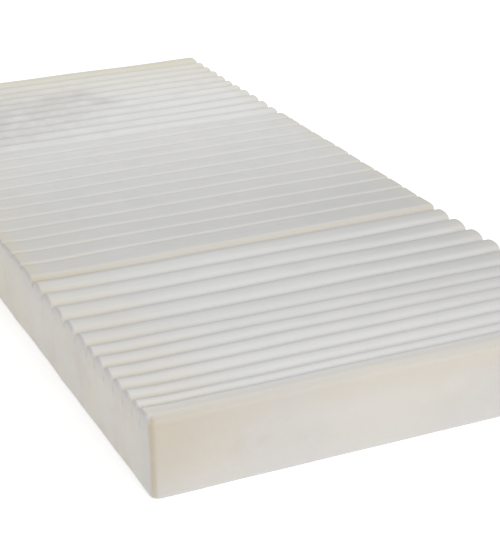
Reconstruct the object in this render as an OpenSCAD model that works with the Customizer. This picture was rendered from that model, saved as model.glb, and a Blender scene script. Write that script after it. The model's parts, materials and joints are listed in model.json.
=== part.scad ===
// Bare foam core of a pressure relief mattress: a ribbed top layer in three zones, glued to a
// base that is divided where the bed folds. Millimetres. X runs across the mattress, +Y towards
// the head end and +Z up. The origin is the centre of the underside. Lists run from head to foot.

/* [Mattress] */
// Width across the bed
mattress_w = 889; // [700:1:1100]
// Thickness from the bed deck to the top of the ribs
mattress_h = 152.4; // [130:0.1:200]
// Radius of the four upright corners
corner_r = 14; // [5:1:18]

/* [Ribbed layer] */
// Thickness of the ribbed top layer, above the glue
layer_h = 44; // [36:0.5:60]
// Width of the knife cut between neighbouring ribs
kerf = 0.8; // [0.6:0.1:1.5]
// Depth of the rounded groove beside a round rib
groove_d = 23; // [12:0.5:28]
// How much of a round rib's width is curved
round_share = 0.96; // [0.8:0.01:0.98]
// Depth of the shallow groove between two flat ribs
flat_groove_d = 12; // [6:0.5:20]
// How far a flat rib's edge curves in from the shallow groove
flat_edge_w = 11; // [6:0.5:20]
// How far the first torso rib curves in from the head zone
head_zone_edge_w = 27; // [15:0.5:30]
// How far the last torso rib curves in from the foot zone
foot_zone_edge_w = 20; // [15:0.5:30]
// How far the outer edge of the two end ribs curves in and down
end_edge = 13; // [6:0.5:16]

/* [Head zone] */
// Width of the rib at the head end
head_end_w = 55.2; // [45:0.1:70]
// Pitch of the narrow head ribs
head_narrow_w = 51.8; // [40:0.1:70]
// Number of narrow head ribs
head_narrow_n = 6; // [6:1:6]
// Pitch of the wide head ribs
head_wide_w = 59.2; // [40:0.1:80]
// Number of wide head ribs
head_wide_n = 4; // [4:1:4]

/* [Torso zone] */
// Pitch of the flat torso ribs
torso_w = 65; // [50:0.1:80]
// Number of torso ribs at that pitch
torso_n = 11; // [11:1:11]
// Width of the last torso rib, beside the fold at the knee
torso_last_w = 77; // [60:0.1:90]

/* [Foot zone] */
// Pitch of the wide foot ribs
foot_wide_w = 65; // [40:0.1:80]
// Number of wide foot ribs
foot_wide_n = 5; // [5:1:5]
// Pitch of the narrow foot ribs
foot_narrow_w = 46.6; // [40:0.1:70]
// Number of narrow foot ribs
foot_narrow_n = 5; // [5:1:5]
// Width of the last rib but one
foot_small_w = 35.6; // [30:0.1:50]
// Width of the rib at the foot end
foot_end_w = 43.6; // [40:0.1:60]
// How far the rib at the foot end curves in from its groove
foot_end_inner = 10; // [6:0.5:20]

/* [Glue] */
// Thickness of the glue film between the base and the ribs
glue_t = 0.4; // [0.2:0.1:1]
// How far the glue stops short of the edges of its section
glue_inset = 6; // [2:0.5:15]

/* [Hidden] */
// Steps in each quarter of a rib's curve
curve_steps = 9;
corner_fn = 64;

rib_w = concat(
    [head_end_w],
    [for (i = [1:head_narrow_n]) head_narrow_w],
    [for (i = [1:head_wide_n]) head_wide_w],
    [for (i = [1:torso_n]) torso_w],
    [torso_last_w],
    [for (i = [1:foot_wide_n]) foot_wide_w],
    [for (i = [1:foot_narrow_n]) foot_narrow_w],
    [foot_small_w, foot_end_w]
);
rib_n = len(rib_w);
first_torso = 1 + head_narrow_n + head_wide_n;
first_foot = first_torso + torso_n + 1;
last_rib = rib_n - 1;

function sum_to(list, n) = n == 0 ? 0 : list[n - 1] + sum_to(list, n - 1);
mattress_l = sum_to(rib_w, rib_n);
// Place of cut i along Y: cut 0 is the head end and cut rib_n the foot end
function cut_y(i) = mattress_l / 2 - sum_to(rib_w, i);
// Half a knife cut, and nothing at the two ends of the mattress
function gap(i) = (i == 0 || i == rib_n) ? 0 : kerf / 2;

base_h = mattress_h - layer_h;
rib_z = base_h + glue_t;

// The base is one block for each section that stays straight and one for each that bends
SECTIONS = ["back", "back_bend", "seat", "thigh_bend", "thigh", "knee_bend", "calf"];
// The first rib on each section
section_rib = [0, first_torso + 2, first_torso + 6, first_torso + 7, first_torso + 9,
    first_torso + 11, first_foot + 1, rib_n];

function two_digits(n) = n < 10 ? str("0", n) : str(n);
function rib_name(i) =
    i < first_torso ? str("head_rib_", two_digits(i + 1))
    : i < first_foot ? str("torso_rib_", two_digits(i - first_torso + 1))
    : str("foot_rib_", two_digits(i - first_foot + 1));
function base_name(s) = str("base_", SECTIONS[s]);
function glue_name(s) = str("glue_", SECTIONS[s]);

function is_torso(i) = i >= first_torso && i < first_foot;
function half_round(i) = rib_w[i] * round_share / 2;
// [how far the edge curves in, how far it curves down] on a rib's head side
function head_edge(i) =
    i == 0 ? [end_edge, end_edge]
    : i == last_rib ? [foot_end_inner, groove_d]
    : !is_torso(i) ? [half_round(i), groove_d]
    : i == first_torso ? [head_zone_edge_w, groove_d]
    : [flat_edge_w, flat_groove_d];
// The same on a rib's foot side
function foot_edge(i) =
    i == last_rib ? [end_edge, end_edge]
    : !is_torso(i) ? [half_round(i), groove_d]
    : i == first_foot - 1 ? [foot_zone_edge_w, groove_d]
    : [flat_edge_w, flat_groove_d];

// A quarter of an ellipse from the rib's side at y up to its top; way is +1 or -1 along Y
function quarter(y, edge, way) = [
    for (k = [0:curve_steps])
        let (t = 90 * k / curve_steps)
        [y + way * edge[0] * (1 - cos(t)), mattress_h - edge[1] * (1 - sin(t))]
];
function reversed(list) = [for (k = [len(list) - 1:-1:0]) list[k]];

// Outline of a rib in the Y-Z plane
function rib_outline(i) =
    let (y_foot = cut_y(i + 1) + gap(i + 1), y_head = cut_y(i) - gap(i))
    concat(
        [[y_foot, rib_z]],
        quarter(y_foot, foot_edge(i), 1),
        reversed(quarter(y_head, head_edge(i), -1)),
        [[y_head, rib_z]]
    );

// The mattress seen from above, with its rounded corners
module footprint() {
    union() {
        square([mattress_w - 2 * corner_r, mattress_l], center = true);
        square([mattress_w, mattress_l - 2 * corner_r], center = true);
        for (x = [-1, 1], y = [-1, 1])
            translate([x * (mattress_w / 2 - corner_r), y * (mattress_l / 2 - corner_r)])
                circle(r = corner_r, $fn = corner_fn);
    }
}

// One foam rib across the whole width
module rib_bar(i) {
    rotate([90, 0, 90])
        linear_extrude(height = mattress_w, center = true)
            polygon(rib_outline(i));
}

module rib(i) {
    color(is_torso(i) ? "gainsboro" : "ivory")
        if (i == 0 || i == last_rib)
            intersection() {
                rib_bar(i);
                linear_extrude(height = mattress_h)
                    footprint();
            }
        else
            rib_bar(i);
}

// One block of the base, under the ribs of its section
module base_block(s) {
    y_foot = cut_y(section_rib[s + 1]) + gap(section_rib[s + 1]);
    y_head = cut_y(section_rib[s]) - gap(section_rib[s]);
    color("antiquewhite")
        linear_extrude(height = base_h)
            intersection() {
                footprint();
                translate([-mattress_w / 2, y_foot])
                    square([mattress_w, y_head - y_foot]);
            }
}

// The glue film between a base block and its ribs
module glue_film(s) {
    y_foot = cut_y(section_rib[s + 1]) + glue_inset;
    y_head = cut_y(section_rib[s]) - glue_inset;
    film_w = mattress_w - 2 * glue_inset;
    color("khaki")
        translate([-film_w / 2, y_foot, base_h])
            cube([film_w, y_head - y_foot, glue_t]);
}

for (s = [0:len(SECTIONS) - 1]) {
    base_block(s);
    glue_film(s);
}
for (i = [0:last_rib])
    rib(i);
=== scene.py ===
"""The bare foam core of a pressure relief mattress: ribs of foam glued to a base that bends with the bed.

Metres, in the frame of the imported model: X across the mattress, +Y to the head end, +Z up.
"""
import json
import math

import bpy
import numpy as np
from mathutils import Matrix, Vector


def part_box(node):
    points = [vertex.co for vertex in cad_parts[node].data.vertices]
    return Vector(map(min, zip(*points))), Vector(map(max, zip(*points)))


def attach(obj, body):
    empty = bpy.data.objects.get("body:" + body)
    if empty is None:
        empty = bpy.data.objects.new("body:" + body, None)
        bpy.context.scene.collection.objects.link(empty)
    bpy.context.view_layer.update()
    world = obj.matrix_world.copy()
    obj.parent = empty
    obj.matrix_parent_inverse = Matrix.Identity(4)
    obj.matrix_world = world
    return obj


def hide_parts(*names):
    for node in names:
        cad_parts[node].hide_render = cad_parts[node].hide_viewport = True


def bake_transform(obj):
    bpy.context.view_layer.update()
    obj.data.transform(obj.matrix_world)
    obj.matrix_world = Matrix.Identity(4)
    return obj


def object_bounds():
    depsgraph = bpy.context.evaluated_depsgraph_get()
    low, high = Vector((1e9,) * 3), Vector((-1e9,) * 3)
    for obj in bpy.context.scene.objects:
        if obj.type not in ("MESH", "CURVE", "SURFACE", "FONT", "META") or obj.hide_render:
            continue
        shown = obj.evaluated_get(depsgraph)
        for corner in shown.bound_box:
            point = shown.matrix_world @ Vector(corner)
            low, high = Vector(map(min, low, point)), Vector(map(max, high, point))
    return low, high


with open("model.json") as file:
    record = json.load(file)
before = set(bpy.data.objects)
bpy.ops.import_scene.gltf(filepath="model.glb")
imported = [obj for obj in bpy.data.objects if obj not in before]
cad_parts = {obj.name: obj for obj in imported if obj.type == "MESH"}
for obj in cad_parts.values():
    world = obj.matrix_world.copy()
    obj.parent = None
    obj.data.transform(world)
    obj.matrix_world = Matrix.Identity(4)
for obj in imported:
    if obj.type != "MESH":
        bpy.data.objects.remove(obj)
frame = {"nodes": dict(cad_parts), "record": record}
cad_low, cad_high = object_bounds()

# ---------------------------------------------------------------- sizes

HALF_W = cad_high.x
HALF_L = cad_high.y
TOP = cad_high.z
GLUE_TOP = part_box("torso_rib_01")[0].z  # where the ribs begin
BASE_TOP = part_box("base_seat")[1].z
SEAM_Z = (GLUE_TOP + BASE_TOP) / 2  # where the ribs and the base meet in this model
KNEE_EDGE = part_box("torso_rib_12")[0].y  # where the last torso rib meets the foot zone
CAD_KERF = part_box("torso_rib_01")[0].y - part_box("torso_rib_02")[1].y
SAME = 0.001  # two places nearer than this are the same place

# the ribs' outlines
KERF = 0.00006  # the knife cut as it shows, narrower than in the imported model
GROOVE_DEPTH = 0.023  # beside a round rib
FLAT_GROOVE_DEPTH = 0.012  # between two flat ribs
FLAT_EDGE = 0.011  # how far a flat rib's edge curves in
HEAD_ZONE_EDGE = 0.027  # the same where the torso zone meets the head zone
FOOT_ZONE_EDGE = 0.020  # and where it meets the foot zone
END_EDGE = 0.013  # the outer edge of the first and last rib
INNER_EDGE = 0.010  # the other edge of the last rib
ROUND_SHARE = 0.96  # how much of a round rib's width is curved
NARROW_CREST = 0.01  # a level stretch shorter than this takes fewer points

# softened edges
CORNER_R = 0.014  # upright corners
BOTTOM_R = 0.009  # along the underside
END_FADE = 0.06  # how far from the ends the softened underside edge turns the corner
RIM = 0.0055  # where a rib ends at the side of the mattress
RIM_DROP = 0.7  # how far a rib's top comes down there, in rims
RIM_PULL = 0.6  # how far a rib's two sides draw in there, in rims
WORN_NOTCH = 0.012  # how far the grooves have worn down the side walls at the foot end
WORN_FROM = 0.45  # where that wear begins, from the middle towards the foot
WORN_OVER = 0.40  # and the length over which it grows

# slight irregularities
RIPPLE_RANGE = 1.6  # the waves of a ripple rarely add up to more than this
SIDE_FROM = 0.90  # the waves in the side walls reach in to this share of the half width
FLARE_FROM = 0.86  # and the sweep of the ribs' left ends to this one
BULGE = 0.0012  # how far the side walls stand proud near the top
FLARE_BACK = 0.004  # how far the left ends of the ribs sweep towards the head end
FLARE_UP = 0.0012  # and up
SIDE_WAVE = 0.0008  # waves in the side walls
LENGTH_WAVE = 0.0007  # in where the ribs lie along the mattress
END_WAVE = 0.0006  # in the end walls
TOP_WAVE = 0.0009  # and in the height of the top
TOP_SAG = 0.6  # how far the top lies low on average, in waves

# fineness of the meshes
RIB_STEP = 0.012
BASE_STEP = 0.018
BASE_LENGTH_STEP = 0.012
GLUE_STEP = 0.02
GLUE_COLUMNS = 40
RIB_LEVELS = 9
BASE_LEVELS = 8
SHOULDER_POINTS = 8
CREST_POINTS = 7
NARROW_CREST_POINTS = 3
EDGE_POINTS = 5
SHARP_ANGLE = 50  # degrees between two faces from which their edge is drawn sharp

# what the materials read from the meshes
NO_CUT = 0.1  # a distance to the nearest cut that stands for no cut there
WALL_FROM = 0.8  # the share of the rim beyond which a rib's end counts as wall
END_WALL_FROM = 0.0105  # how near the end a point begins to count as end wall
END_WALL_FADE = 0.0085  # and over what length it comes to count fully
END_WALL_DOWN = 0.006  # how far below the top it begins to, on the rounded outer edge
END_WALL_DOWN_FADE = 0.005  # and over what height
FULL_SLOPE = 0.42  # the slope from which a rib's side counts as fully turned


# ---------------------------------------------------------------- small, smooth irregularities

def ripple(u, v, seed):
    """Smooth noise, mostly between -1 and 1, over u and v in radians: a few waves at different angles."""
    random = np.random.default_rng(seed)
    total = 0
    for size in (1.0, 0.62, 0.41, 0.27):
        angle, phase = random.uniform(0, 2 * math.pi, 2)
        stretch = random.uniform(0.8, 1.4) / size
        total = total + size * np.sin(stretch * (u * math.cos(angle) + v * math.sin(angle)) + phase)
    return total / RIPPLE_RANGE


def round_corners(x, y):
    """x and y with the mattress's upright corners rounded."""
    corner_x, corner_y = HALF_W - CORNER_R, HALF_L - CORNER_R
    dx, dy = np.maximum(np.abs(x) - corner_x, 0), np.maximum(np.abs(y) - corner_y, 0)
    far = np.hypot(dx, dy)
    inside = np.where(far > 0, np.maximum(dx, dy) / np.maximum(far, 1e-9), 1)
    x = np.where(dx > 0, np.sign(x) * (corner_x + dx * inside), x)
    y = np.where(dy > 0, np.sign(y) * (corner_y + dy * inside), y)
    return x, y


def soften(points):
    """The ideal outline turned into hand-cut foam: round corners, a soft underside edge, slight waves.

    The factors in the ripples are radians per metre.
    """
    x, y, z = points.T.copy()
    x, y = round_corners(x, y)
    rise = np.clip(z / BOTTOM_R, 0, 1)
    inset = BOTTOM_R * (1 - np.sqrt(1 - (1 - rise) ** 2))
    end = np.clip((np.abs(y) - HALF_L + END_FADE) / END_FADE, 0, 1)
    x = x * (1 - inset / HALF_W)
    y = y - np.sign(y) * inset * end
    side = np.clip((np.abs(x) / HALF_W - SIDE_FROM) / (1 - SIDE_FROM), 0, 1)
    height = np.clip((z - GLUE_TOP) / (TOP - GLUE_TOP), 0, 1)
    flare = height * np.clip((-x / HALF_W - FLARE_FROM) / (1 - FLARE_FROM), 0, 1)
    x = x + np.sign(x) * BULGE * side * height + SIDE_WAVE * side * ripple(y * 14, z * 40, 3)
    y = y + FLARE_BACK * flare ** 2
    z = z + FLARE_UP * flare
    y = y + LENGTH_WAVE * ripple(x * 9, y * 21, 5) + END_WAVE * end * ripple(x * 12, z * 40, 7)
    z = z + TOP_WAVE * height * (ripple(x * 7, y * 30, 11) - TOP_SAG)
    return np.stack([x, y, z], axis=1)


# ---------------------------------------------------------------- blocks of foam

def block_faces(nx, ny, nz):
    """The lattice points on the surface of an nx by ny by nz block, and the quads that join them."""
    number = {}
    quads = []

    def at(point):
        return number.setdefault(point, len(number))

    def face(size_a, size_b, place, flip):
        for a in range(size_a):
            for b in range(size_b):
                corners = (a, b), (a + 1, b), (a + 1, b + 1), (a, b + 1)
                ring = [at(place(*corner)) for corner in corners]
                quads.append(ring[::-1] if flip else ring)

    face(nx, ny, lambda a, b: (a, b, 0), True)
    face(nx, ny, lambda a, b: (a, b, nz), False)
    face(nx, nz, lambda a, b: (a, 0, b), False)
    face(nx, nz, lambda a, b: (a, ny, b), True)
    face(ny, nz, lambda a, b: (0, a, b), True)
    face(ny, nz, lambda a, b: (nx, a, b), False)
    return np.array(list(number)), quads


def piece_from(name, points, quads, facts):
    """A mesh object with its points' resting places and the given per-point values as attributes."""
    mesh = bpy.data.meshes.new(name)
    mesh.from_pydata(points.tolist(), [], quads)
    rest = mesh.attributes.new("rest", "FLOAT_VECTOR", "POINT")
    rest.data.foreach_set("vector", points.astype(np.float32).ravel())
    for fact, values in facts.items():
        mesh.attributes.new(fact, "FLOAT", "POINT").data.foreach_set("value", values.astype(np.float32))
    mesh.shade_smooth()
    mesh.set_sharp_from_angle(angle=math.radians(SHARP_ANGLE))
    piece = bpy.data.objects.new(name, mesh)
    bpy.context.scene.collection.objects.link(piece)
    return piece


def edge_steps(radius):
    """How far from its outer side the points of an edge of the given radius are."""
    return radius * (1 - np.cos(np.linspace(0, math.pi / 2, EDGE_POINTS)))


def stations(low, high, step, rims, rim=RIM):
    """Places from low to high about step apart, with extra ones along the softened edges.

    rims says whether the low and the high end have such an edge, and rim is its width.
    """
    inner_low = low + rim if rims[0] else low
    inner_high = high - rim if rims[1] else high
    middle = np.linspace(inner_low, inner_high, max(2, round((inner_high - inner_low) / step) + 1))
    turn = edge_steps(rim)[:-1]
    before = low + turn if rims[0] else []
    after = (high - turn)[::-1] if rims[1] else []
    return np.concatenate([before, middle, after])


def shoulder(width, depth):
    """How far in and how far down the points of a curved edge are, from its side to its top."""
    turn = np.linspace(0, math.pi / 2, SHOULDER_POINTS)
    return width * (1 - np.cos(turn)), depth * (1 - np.sin(turn))


def rib_edges(name):
    """((in, down) on the foot side, (in, down) on the head side) of a rib."""
    low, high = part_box(name)
    flat = (FLAT_EDGE, FLAT_GROOVE_DEPTH)
    curve = ((high.y - low.y) * ROUND_SHARE / 2, GROOVE_DEPTH)
    end = (END_EDGE, END_EDGE)
    if name == TORSO[-1]:
        return (FOOT_ZONE_EDGE, GROOVE_DEPTH), flat
    if name == TORSO[0]:
        return flat, (HEAD_ZONE_EDGE, GROOVE_DEPTH)
    if name in TORSO:
        return flat, flat
    if name == FOOT[-1]:
        return end, (INNER_EDGE, GROOVE_DEPTH)
    return curve, (end if name == HEAD[0] else curve)


def rib_outline(name):
    """A rib's outline: where its points lie along Y, how high its top is there, and its groove's height."""
    low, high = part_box(name)
    spare = (CAD_KERF - KERF) / 2
    y_foot = low.y - (spare if name != FOOT[-1] else 0)
    y_head = high.y + (spare if name != HEAD[0] else 0)
    (foot_in, foot_down), (head_in, head_down) = rib_edges(name)
    in_a, down_a = shoulder(foot_in, foot_down)
    in_b, down_b = shoulder(head_in, head_down)
    narrow = y_head - y_foot - foot_in - head_in < NARROW_CREST
    crest_n = NARROW_CREST_POINTS if narrow else CREST_POINTS
    crest_y = np.linspace(y_foot + foot_in, y_head - head_in, crest_n)[1:-1]
    across = np.concatenate([y_foot + in_a, crest_y, (y_head - in_b)[::-1]])
    top = np.concatenate([TOP - down_a, np.full(len(crest_y), TOP), (TOP - down_b)[::-1]])
    return across, top, TOP - max(foot_down, head_down)


def draw_in(name, y, z, past, y_foot, y_head, groove_z):
    """y and z with the rim: near the rib's two ends its top comes down and its open sides draw in."""
    middle = (y_foot + y_head) / 2
    out = (y - middle) / ((y_head - y_foot) / 2)
    pull = np.clip(out, 0 if name == FOOT[-1] else -1, 0 if name == HEAD[0] else 1)
    worn = np.clip((-middle - WORN_FROM) / WORN_OVER, 0, 1)
    notch_z = groove_z - WORN_NOTCH * worn
    share = np.clip((z - groove_z) / (TOP - groove_z), 0, 1)
    open_share = np.clip((z - notch_z) / (TOP - notch_z), 0, 1)
    drawn = 1 - np.sqrt(1 - past ** 2)
    z = z - RIM_DROP * drawn * RIM * share
    y = y - RIM_PULL * past ** 1.5 * pull * RIM * np.sin(math.pi * open_share)
    return y, z


def wall_share(name, y, z, past):
    """How far each point of a rib counts as a wall of the mattress, from 0 to 1."""
    wall = np.clip((past - WALL_FROM) / (1 - WALL_FROM), 0, 1)
    # the rounded top edge of the end ribs counts as end wall too, and takes the end wall's painted shade
    if name in (FOOT[-1], HEAD[0]):
        near_end = np.clip((np.abs(y) - HALF_L + END_WALL_FROM) / END_WALL_FADE, 0, 1)
        below_edge = np.clip((TOP - z - END_WALL_DOWN) / END_WALL_DOWN_FADE, 0, 1)
        below_edge = below_edge * (np.abs(y) > HALF_L - CORNER_R)
        wall = np.maximum(wall, np.maximum(near_end, below_edge))
    return wall


def make_rib(name):
    """One rib across the mattress: an extruded outline with softened ends."""
    across, top, groove_z = rib_outline(name)
    y_foot, y_head = across[0], across[-1]
    along = stations(-HALF_W, HALF_W, RIB_STEP, (True, True))
    if name in (FOOT[-1], HEAD[0]):
        along = np.union1d(along, stations(-HALF_W, HALF_W, RIB_STEP, (True, True), CORNER_R))
    levels = np.linspace(0, 1, RIB_LEVELS)
    lattice, quads = block_faces(len(along) - 1, len(across) - 1, len(levels) - 1)
    i, j, k = lattice.T
    x, y = along[i], across[j]
    z = SEAM_Z + levels[k] * (top[j] - SEAM_Z)
    past = np.clip(1 - (HALF_W - np.abs(x)) / RIM, 0, 1)
    y, z = draw_in(name, y, z, past, y_foot, y_head, groove_z)
    to_foot_cut = y - y_foot + (NO_CUT if name == FOOT[-1] else 0)
    to_head_cut = y_head - y + (NO_CUT if name == HEAD[0] else 0)
    facts = {
        # in millimetres
        "to_cut": np.minimum(to_foot_cut, to_head_cut) * 1000,
        # 0 at the top, 1 where the cuts end
        "depth": np.clip((TOP - z) / (TOP - GLUE_TOP), 0, 1),
        "wall": wall_share(name, y, z, past),
        # how steeply the top falls towards the head end: 0 where it is level, below 0 where it rises
        "turned": np.clip(-np.gradient(top, across)[j] / FULL_SLOPE, -1, 1),
        # how far into the rim: 0 where it begins, 1 at the side of the mattress
        "past": past,
    }
    points = soften(np.stack([x, y, z], axis=1))
    return piece_from(name + "_foam", points, quads, facts)


def make_base(name):
    """One block of the base, its outer edges softened."""
    low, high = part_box(name)
    ends = (low.y < -HALF_L + SAME, high.y > HALF_L - SAME)
    y_low = low.y - (0 if ends[0] else CAD_KERF / 2)
    y_high = high.y + (0 if ends[1] else CAD_KERF / 2)
    along = stations(-HALF_W, HALF_W, BASE_STEP, (True, True), CORNER_R)
    across = stations(y_low, y_high, BASE_LENGTH_STEP, ends, CORNER_R)
    levels = np.concatenate([edge_steps(BOTTOM_R), np.linspace(BOTTOM_R, SEAM_Z, BASE_LEVELS)[1:]])
    lattice, quads = block_faces(len(along) - 1, len(across) - 1, len(levels) - 1)
    i, j, k = lattice.T
    points = soften(np.stack([along[i], across[j], levels[k]], axis=1))
    one = np.ones(len(points))
    facts = {"to_cut": NO_CUT * 1000 * one, "depth": one, "wall": one}
    return piece_from(name + "_foam", points, quads, facts)


def make_glue(name):
    """The thin film between a base block and its ribs."""
    low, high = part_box(name)
    along = np.linspace(low.x, high.x, GLUE_COLUMNS)
    across = np.linspace(low.y, high.y, max(3, round((high.y - low.y) / GLUE_STEP)))
    lattice, quads = block_faces(len(along) - 1, len(across) - 1, 1)
    i, j, k = lattice.T
    z = np.where(k == 0, low.z, high.z)
    points = soften(np.stack([along[i], across[j], z], axis=1))
    return piece_from(name + "_film", points, quads, {})


# ---------------------------------------------------------------- node trees

class Nodes:
    """A material's node tree, built by short calls that return output sockets."""

    def __init__(self, name):
        self.material = bpy.data.materials.new(name)
        self.material.use_nodes = True
        self.tree = self.material.node_tree
        self.shader = self.tree.nodes["Principled BSDF"]

    def add(self, kind, inputs=(), **settings):
        made = self.tree.nodes.new(kind)
        for key, value in settings.items():
            setattr(made, key, value)
        for socket, value in dict(inputs).items():
            self.set(made.inputs[socket], value)
        return made

    def set(self, socket, value):
        if isinstance(value, bpy.types.NodeSocket):
            self.tree.links.new(value, socket)
        else:
            socket.default_value = value

    def attribute(self, name, output="Fac"):
        return self.add("ShaderNodeAttribute", attribute_name=name).outputs[output]

    def math(self, operation, a, b=0.0):
        return self.add("ShaderNodeMath", {0: a, 1: b}, operation=operation).outputs[0]

    def both(self, a, b):
        """Where the two factors a and b both hold."""
        return self.math("MULTIPLY", a, b)

    def ramp(self, value, low, high, to_low=0.0, to_high=1.0):
        """value carried smoothly from the range low..high to to_low..to_high."""
        inputs = {"Value": value, "From Min": low, "From Max": high, "To Min": to_low, "To Max": to_high}
        return self.add("ShaderNodeMapRange", inputs, interpolation_type="SMOOTHSTEP").outputs["Result"]

    def noise(self, vector, scale, detail=2.0, rough=0.5):
        inputs = {"Vector": vector, "Scale": scale, "Detail": detail, "Roughness": rough}
        return self.add("ShaderNodeTexNoise", inputs).outputs["Fac"]

    def stretched(self, vector, scale):
        return self.add("ShaderNodeVectorMath", {0: vector, 1: scale}, operation="MULTIPLY").outputs[0]

    def mix(self, factor, a, b):
        made = self.add("ShaderNodeMix", {}, data_type="RGBA")
        for socket, value in zip((0, 6, 7), (factor, a, b)):
            self.set(made.inputs[socket], value)
        return made.outputs[2]

    def bump(self, height, strength, distance, normal=None):
        inputs = {"Height": height, "Strength": strength, "Distance": distance}
        if normal is not None:
            inputs["Normal"] = normal
        return self.add("ShaderNodeBump", inputs).outputs["Normal"]


class FoamNodes(Nodes):
    """The same for foam, with the places and patterns that all its colours depend on."""

    def __init__(self, name):
        super().__init__(name)
        self.rest = self.attribute("rest", "Vector")
        self.x, self.y, self.z = self.add("ShaderNodeSeparateXYZ", {0: self.rest}).outputs
        self.to_cut = self.attribute("to_cut")
        self.depth = self.attribute("depth")
        self.wall = self.attribute("wall")
        self.broad = self.noise(self.rest, 3.2, 3.0, 0.55)
        self.cloudy = self.noise(self.rest, 17.0, 3.0, 0.6)
        self.patches = self.ramp(self.cloudy, 0.3, 0.6, 0.4, 1.0)
        self.strokes = self.noise(self.stretched(self.rest, (6.0, 260.0, 260.0)), 1.0, 2.0, 0.5)

    def marks(self, base, places, colour_there, strength):
        """base with a soft, uneven round mark at each of the places, given as (x, y, z, reach)."""
        for *centre, reach in places:
            away = self.add("ShaderNodeVectorMath", {0: self.rest, 1: centre}, operation="DISTANCE")
            near = self.ramp(away.outputs["Value"], reach, 0.0, 0.0, strength)
            base = self.mix(self.both(near, self.patches), base, colour_there)
        return base


# ---------------------------------------------------------------- colours

def colour(red, green, blue):
    return (red, green, blue, 1.0)


BRIGHT = colour(0.83, 0.83, 0.82)
# painted light: the colour that lightens the cut faces in the notches
NOTCH_LIGHT = colour(0.95, 0.91, 0.78)
PALE = colour(0.82, 0.815, 0.80)
CREAM = colour(0.80, 0.785, 0.73)
STRAW = colour(0.745, 0.715, 0.59)
YELLOW = colour(0.74, 0.69, 0.56)
WARM = colour(0.735, 0.67, 0.55)
PINK = colour(0.70, 0.665, 0.645)
WALL = colour(0.69, 0.66, 0.615)
# painted shade: darker than WALL, to offset the front light on the end walls
END_WALL = colour(0.545, 0.525, 0.50)
GREY = colour(0.58, 0.58, 0.58)
STAIN = colour(0.57, 0.56, 0.54)
MAUVE = colour(0.55, 0.53, 0.55)
AMBER = colour(0.62, 0.53, 0.36)
TAN = colour(0.50, 0.45, 0.375)
DARK_TAN = colour(0.46, 0.39, 0.29)
# where the marks in the head zone lie, as x and y, and how far each reaches
MARKS = ((-0.12, 0.70, 0.34), (-0.27, 0.57, 0.22), (-0.03, 0.78, 0.08), (0.04, 0.80, 0.06),
         (-0.06, 0.63, 0.06), (0.08, 0.71, 0.07))
# the same on the end wall at the foot, as x and z
END_MARKS = ((-0.29, 0.067, 0.026), (-0.25, 0.069, 0.020), (-0.18, 0.060, 0.026))


# ---------------------------------------------------------------- materials

def rib_tops(n, main, far, shade, groove_tint, groove_start, groove_fade):
    """The tops of the ribs: main at the foot end and far at the head, in greyish and creamy patches.

    shade paints grey on the side of a rib that faces the head end: painted shade, away from the front
    light.
    groove_tint makes the sides of the grooves creamier and lighter, partly the foam's yellowing and partly
    painted light, from the depth groove_start on and over the next groove_fade. The cuts end at depth 1.
    """
    base = n.mix(n.ramp(n.y, -0.35, 0.55), main, far)
    # painted shade: the tops of the foot zone are painted greyer towards the right side
    right_foot_shade = n.both(n.ramp(n.x, -0.15, 0.45, 0.0, 0.85), n.ramp(n.y, 0.0, -0.3))
    base = n.mix(right_foot_shade, base, GREY)
    base = n.mix(n.ramp(n.broad, 0.35, 0.7, 0.0, 0.22), base, CREAM)
    base = n.mix(n.ramp(n.cloudy, 0.45, 0.75, 0.0, 0.18), base, GREY)
    # painted shade: the side of each rib that falls away towards the head end is painted grey
    base = n.mix(n.ramp(n.attribute("turned"), -0.35, 1.0, 0.0, shade), base, GREY)
    base = n.mix(n.ramp(n.strokes, 0.4, 0.7, 0.0, 0.15), base, GREY)
    # groove sides are creamier (partly yellowing, partly painted light) and paler lower down: painted light
    base = n.mix(n.ramp(n.depth, groove_start, groove_start + groove_fade, 0.0, groove_tint), base, CREAM)
    base = n.mix(n.ramp(n.depth, 0.03, 0.24), base, PALE)
    return n.mix(n.ramp(n.y, -0.70, -0.95, 0.0, 0.45), base, PALE)


def yellowed_rib_ends(n, base):
    """base yellowed at the left ends of the ribs, less so at the right ends, and along the foot end."""
    left_end = n.both(n.ramp(n.x, -0.20, -0.42, 0.0, 0.45), n.ramp(n.depth, 0.0, 0.15, 0.3, 1.0))
    base = n.mix(left_end, base, YELLOW)
    base = n.mix(n.ramp(n.x, 0.39, 0.44, 0.0, 0.30), base, YELLOW)
    left_edge = n.both(n.ramp(n.x, -0.405, -0.44, 0.0, 0.5), n.ramp(n.y, -0.6, -0.3))
    base = n.mix(left_edge, base, WARM)
    return n.mix(n.ramp(n.y, 0.035 - HALF_L, 0.008 - HALF_L, 0.0, 0.45), base, WARM)


def shaded_rims(n, base):
    """base painted grey on the ribs' left rims and on the very edge of the right ends: painted shade"""
    past = n.attribute("past")
    # painted shade: the rounded rims that turn sideways are painted mauve-grey
    left_rim = n.both(n.ramp(past, 0.0, 0.7, 0.0, 0.6), n.ramp(n.x, 0.40, 0.30, 0.1, 1.0))
    right_rim = n.both(n.ramp(past, 0.2, 0.7, 0.0, 0.9), n.ramp(n.x, 0.30, 0.40))
    right_rim = n.both(right_rim, n.ramp(n.y, -0.72, -0.62))
    rim = n.both(n.math("MAXIMUM", left_rim, right_rim), n.ramp(n.depth, 0.30, 0.12))
    return n.mix(rim, base, MAUVE)


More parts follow.
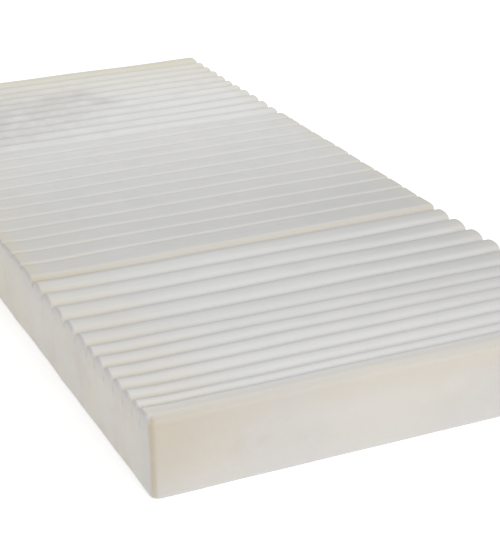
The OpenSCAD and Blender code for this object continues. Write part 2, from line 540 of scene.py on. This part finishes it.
def yellowed_fold(n, base):
    """base yellowed on the last torso rib, where the bed folds beneath it."""
    from_rib = n.ramp(n.y, KNEE_EDGE + 0.022, KNEE_EDGE + 0.010)
    fold = n.both(from_rib, n.ramp(n.y, KNEE_EDGE - 0.001, KNEE_EDGE))
    return n.mix(n.both(fold, n.ramp(n.depth, 0.0, 0.08, 0.0, 0.28)), base, AMBER)


def yellowed_head(n, base):
    """base yellowed on the ribs towards the head end, the last of them most."""
    base = n.mix(n.ramp(n.y, 0.60, 0.98, 0.0, 0.40), base, STRAW)
    last_rib = n.both(n.ramp(n.y, 0.93, 1.0), n.ramp(n.cloudy, 0.3, 0.7, 0.5, 0.9))
    return n.mix(last_rib, base, STRAW)


def side_walls(n):
    """The side walls: streaked upright, warmer to head and floor, greyer near ribs and foot: painted shade.
    """
    base = n.mix(n.ramp(n.cloudy, 0.4, 0.8, 0.0, 0.25), WALL, TAN)
    streaks = n.noise(n.stretched(n.rest, (9.0, 9.0, 2.5)), 1.0, 3.0, 0.55)
    base = n.mix(n.ramp(streaks, 0.48, 0.70, 0.0, 0.35), base, YELLOW)
    base = n.mix(n.ramp(streaks, 0.50, 0.30, 0.0, 0.45), base, PINK)
    warm = n.both(n.ramp(n.y, -0.5, 0.5, 0.0, 0.9), n.ramp(n.z, 0.15, 0.05, 0.3, 1.0))
    base = n.mix(warm, base, WARM)
    # painted shade: the ribs' ends are painted greyer, and mauve near their tops
    base = n.mix(n.ramp(n.depth, 1.0, 0.6, 0.0, 0.30), base, GREY)
    base = n.mix(n.ramp(n.depth, 0.50, 0.10, 0.0, 0.55), base, MAUVE)
    # painted shade: the side walls are painted greyer towards the corner at the foot end
    return n.mix(n.ramp(n.y, 0.11 - HALF_L, 0.01 - HALF_L, 0.0, 0.4), base, GREY)


def end_walls(n):
    """The end walls: darker, painted shade; tan towards the upright corners and along the top."""
    across = n.math("ABSOLUTE", n.x)
    # painted shade: the end walls start from END_WALL, darker than the side walls
    base = n.mix(n.ramp(n.cloudy, 0.4, 0.8, 0.0, 0.2), END_WALL, TAN)
    base = n.mix(n.ramp(n.broad, 0.45, 0.65, 0.0, 0.15), base, YELLOW)
    # darker and tanner towards the upright corners
    toward_corners = n.ramp(across, HALF_W - 0.24, HALF_W - 0.02, 0.0, 0.85)
    base = n.mix(n.both(toward_corners, n.ramp(n.z, 0.0, 0.11, 0.5, 1.0)), base, TAN)
    base = n.mix(n.ramp(n.z, 0.07, 0.0, 0.0, 0.35), base, GREY)
    base = n.mix(n.ramp(n.z, 0.080, 0.135, 0.0, 0.35), base, TAN)
    base = n.mix(n.ramp(n.z, TOP - 0.018, TOP - 0.003, 0.0, 0.22), base, CREAM)
    # the left corners are darker
    corner = n.both(n.ramp(n.x, 0.012 - HALF_W, 0.006 - HALF_W), n.ramp(n.cloudy, 0.35, 0.6, 0.2, 0.6))
    base = n.mix(corner, base, DARK_TAN)
    return n.marks(base, [(u, -HALF_L, v, reach) for u, v, reach in END_MARKS], TAN, 0.3)


def stained_cuts_and_floor_shade(n, base):
    """base stained for a few millimetres beside the knife cuts, most at the foot; painted grey shade at the
    floor.
    """
    beside = n.both(n.ramp(n.to_cut, 4.0, 0.2), n.ramp(n.depth, 0.40, 0.55))
    beside = n.both(beside, n.ramp(n.depth, 1.0, 0.75))
    base = n.mix(n.both(beside, n.ramp(n.y, -0.5, -0.9, 0.15, 0.5)), base, AMBER)
    # painted shade: the underside edge that turns down to the floor is painted grey
    return n.mix(n.ramp(n.z, 0.009, 0.001, 0.0, 0.8), base, GREY)


def lit_cut_faces(n, base):
    """base painted lighter on the cut faces that show where the grooves open at the sides: painted light.
    """
    # painted light: the cut faces in the narrow notches are painted light, lifting their shade
    lit_faces = n.both(n.ramp(n.to_cut, 0.6, 0.1), n.ramp(n.depth, 0.15, 0.35))
    return n.mix(n.both(lit_faces, n.ramp(n.depth, 0.90, 0.70, 0.0, 0.9)), base, NOTCH_LIGHT)


def foam_surface(n):
    """A matt, open-cell surface with the fine strokes that the cutting wire has left along the ribs."""
    n.shader.inputs["Roughness"].default_value = 0.95
    n.shader.inputs["Specular IOR Level"].default_value = 0.10
    n.shader.inputs["Sheen Weight"].default_value = 0.08
    n.shader.inputs["Sheen Roughness"].default_value = 0.6
    cells = n.add("ShaderNodeTexVoronoi", {"Vector": n.rest, "Scale": 620.0}).outputs["Distance"]
    fine = n.noise(n.rest, 340.0, 3.0, 0.6)
    strokes = n.both(n.strokes, n.ramp(n.wall, 0.0, 1.0, 1.0, 0.2))
    normal = n.bump(cells, 0.35, 0.0006)
    normal = n.bump(fine, 0.30, 0.0008, normal)
    normal = n.bump(strokes, 0.35, 0.0010, normal)
    n.set(n.shader.inputs["Normal"], normal)


def foam(name, main=WALL, far=WALL, shade=0.0, groove_tint=0.0, groove_start=0.0, groove_fade=0.1):
    """Open-cell foam that has yellowed at its edges, in its cuts and where hands have held it."""
    n = FoamNodes(name)
    tops = rib_tops(n, main, far, shade, groove_tint, groove_start, groove_fade)
    tops = yellowed_rib_ends(n, tops)
    tops = shaded_rims(n, tops)
    tops = yellowed_fold(n, tops)
    tops = yellowed_head(n, tops)
    tops = n.marks(tops, [(u, v, TOP, reach) for u, v, reach in MARKS], STAIN, 0.45)
    end_face = n.ramp(n.math("ABSOLUTE", n.y), HALF_L - 0.014, HALF_L - 0.004)
    walls = n.mix(end_face, side_walls(n), end_walls(n))
    walls = stained_cuts_and_floor_shade(n, walls)
    n.set(n.shader.inputs["Base Color"], lit_cut_faces(n, n.mix(n.wall, tops, walls)))
    foam_surface(n)
    return n.material


def glue_film():
    """Dried contact adhesive: pale, uneven and a little shiny."""
    n = Nodes("glue_film")
    patches = n.noise(n.attribute("rest", "Vector"), 45.0, 4.0, 0.6)
    n.set(n.shader.inputs["Base Color"], n.mix(n.ramp(patches, 0.3, 0.7), CREAM, AMBER))
    n.set(n.shader.inputs["Roughness"], n.ramp(patches, 0.3, 0.7, 0.35, 0.7))
    n.set(n.shader.inputs["Normal"], n.bump(patches, 0.5, 0.0005))
    return n.material


def floor_paint():
    """A matt white studio floor, slightly uneven and a little lit from within."""
    n = Nodes("floor_paint")
    patches = n.noise(n.add("ShaderNodeTexCoord").outputs["Object"], 1.5, 2.0)
    tone = n.mix(patches, colour(0.93, 0.93, 0.93), colour(0.95, 0.95, 0.95))
    n.set(n.shader.inputs["Base Color"], tone)
    n.shader.inputs["Roughness"].default_value = 0.9
    n.shader.inputs["Emission Color"].default_value = colour(1.0, 1.0, 1.0)
    n.shader.inputs["Emission Strength"].default_value = 0.38
    return n.material


# ---------------------------------------------------------------- the mattress

names = sorted(frame["nodes"])
HEAD = [n for n in names if n.startswith("head_rib")]
TORSO = [n for n in names if n.startswith("torso_rib")]
FOOT = [n for n in names if n.startswith("foot_rib")]
BASES = [n for n in names if n.startswith("base_")]
FILMS = [n for n in names if n.startswith("glue_")]

body_of = {n: body for body, nodes in frame["record"]["behaviour"]["bodies"].items() for n in nodes}
# each bend: the bodies on its foot side and its head side, and the ribs that lie over its base block
BENDS = {
    "back_bend": ("seat", "back", TORSO[2:6]),
    "thigh_bend": ("thigh", "seat", TORSO[7:9]),
    "knee_bend": ("calf", "thigh", [TORSO[11], FOOT[0]]),
}


def follow(piece, name):
    """The piece moves with its CAD node's body, or stays where it is if it lies across a fold."""
    for zone, (foot_body, head_body, ribs) in BENDS.items():
        if name in ribs or name in ("base_" + zone, "glue_" + zone):
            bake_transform(piece)
            return
    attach(piece, body_of[name])


rib_foam = foam("rib_foam", main=colour(0.735, 0.735, 0.727), far=BRIGHT, shade=0.7,
                groove_tint=0.15, groove_start=0.02, groove_fade=0.14)
torso_foam = foam("torso_foam", main=colour(0.675, 0.672, 0.66), far=colour(0.79, 0.79, 0.78), shade=0.0,
                  groove_tint=0.5, groove_start=0.0, groove_fade=0.04)
base_foam = foam("base_foam")  # the base counts as wall all over, so its tops take no colours
glue_material = glue_film()

for name in HEAD + TORSO + FOOT + BASES + FILMS:
    if name in FILMS:
        piece = make_glue(name)
        finish, slot = glue_material, "glue"
    elif name in BASES:
        piece = make_base(name)
        finish, slot = base_foam, "base_foam"
    else:
        piece = make_rib(name)
        finish, slot = (torso_foam, "torso_foam") if name in TORSO else (rib_foam, "rib_foam")
    piece.data.materials.append(finish)
    follow(piece, name)
    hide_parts(name)


# ---------------------------------------------------------------- studio

FLOOR_HALF = 60.0  # large, so that the floor reaches the horizon in low views
FLOOR_GAP = 0.0005  # how far the floor lies below the mattress
CAMERA_PLACE = (-1.1676, -3.1027, 1.3151)
CAMERA_AZIMUTH = -23.214
CAMERA_ELEVATION = 22.720
CAMERA_ROLL = -1.417
CAMERA_LENS = 103.09  # mm
CAMERA_SENSOR = 36  # mm, the long side
CAMERA_SHIFT = (0.00845, 0.00142)


def make_floor():
    """A plain floor just below the mattress."""
    corners = [(-1, -1, 0), (1, -1, 0), (1, 1, 0), (-1, 1, 0)]
    mesh = bpy.data.meshes.new("floor")
    mesh.from_pydata([Vector(corner) * FLOOR_HALF for corner in corners], [], [(0, 1, 2, 3)])
    mesh.materials.append(floor_paint())
    floor = bpy.data.objects.new("floor", mesh)
    floor.location.z = -FLOOR_GAP
    bpy.context.scene.collection.objects.link(floor)


def make_light(name, place, aim, size, power):
    """A round softbox, size metres across, that shines from place towards aim."""
    light = bpy.data.lights.new(name, "AREA")
    light.shape = "DISK"
    light.size = size
    light.energy = power
    lamp = bpy.data.objects.new(name, light)
    lamp.location = place
    direction = np.array(aim) - np.array(place)
    lamp.rotation_mode = "QUATERNION"
    lamp.rotation_quaternion = Vector(direction).to_track_quat("-Z", "Y")
    bpy.context.scene.collection.objects.link(lamp)


def make_world(strength):
    """Even white light from all around."""
    world = bpy.data.worlds.new("studio")
    world.use_nodes = True
    background = world.node_tree.nodes["Background"]
    background.inputs["Color"].default_value = colour(1.0, 1.0, 1.0)
    background.inputs["Strength"].default_value = strength
    bpy.context.scene.world = world


def make_camera():
    """The photograph's view: from beyond the foot end, over the near left corner."""
    a, e, r = (math.radians(v) for v in (CAMERA_AZIMUTH, CAMERA_ELEVATION, CAMERA_ROLL))
    back = np.array([math.sin(a) * math.cos(e), -math.cos(a) * math.cos(e), math.sin(e)])
    right = np.array([math.cos(a), math.sin(a), 0])
    up = np.cross(back, right)
    turned_right = math.cos(r) * right + math.sin(r) * up
    turned_up = math.cos(r) * up - math.sin(r) * right
    matrix = Matrix.Identity(4)
    for column, axis in enumerate((turned_right, turned_up, back, CAMERA_PLACE)):
        for row in range(3):
            matrix[row][column] = axis[row]
    data = bpy.data.cameras.new("camera")
    data.sensor_width = CAMERA_SENSOR
    data.lens = CAMERA_LENS
    data.shift_x, data.shift_y = CAMERA_SHIFT
    camera = bpy.data.objects.new("camera", data)
    camera.matrix_world = matrix
    bpy.context.scene.collection.objects.link(camera)
    bpy.context.scene.camera = camera


make_floor()
make_world(strength=0.62)
make_light("front_softbox", place=(0.2, -6.0, 2.0), aim=(0, -0.3, 0.1), size=3.0, power=120)
make_light("top_softbox", place=(0.5, 1.5, 2.6), aim=(0, 0.4, 0.1), size=2.0, power=16)
make_camera()
bpy.context.scene.view_settings.view_transform = "Standard"
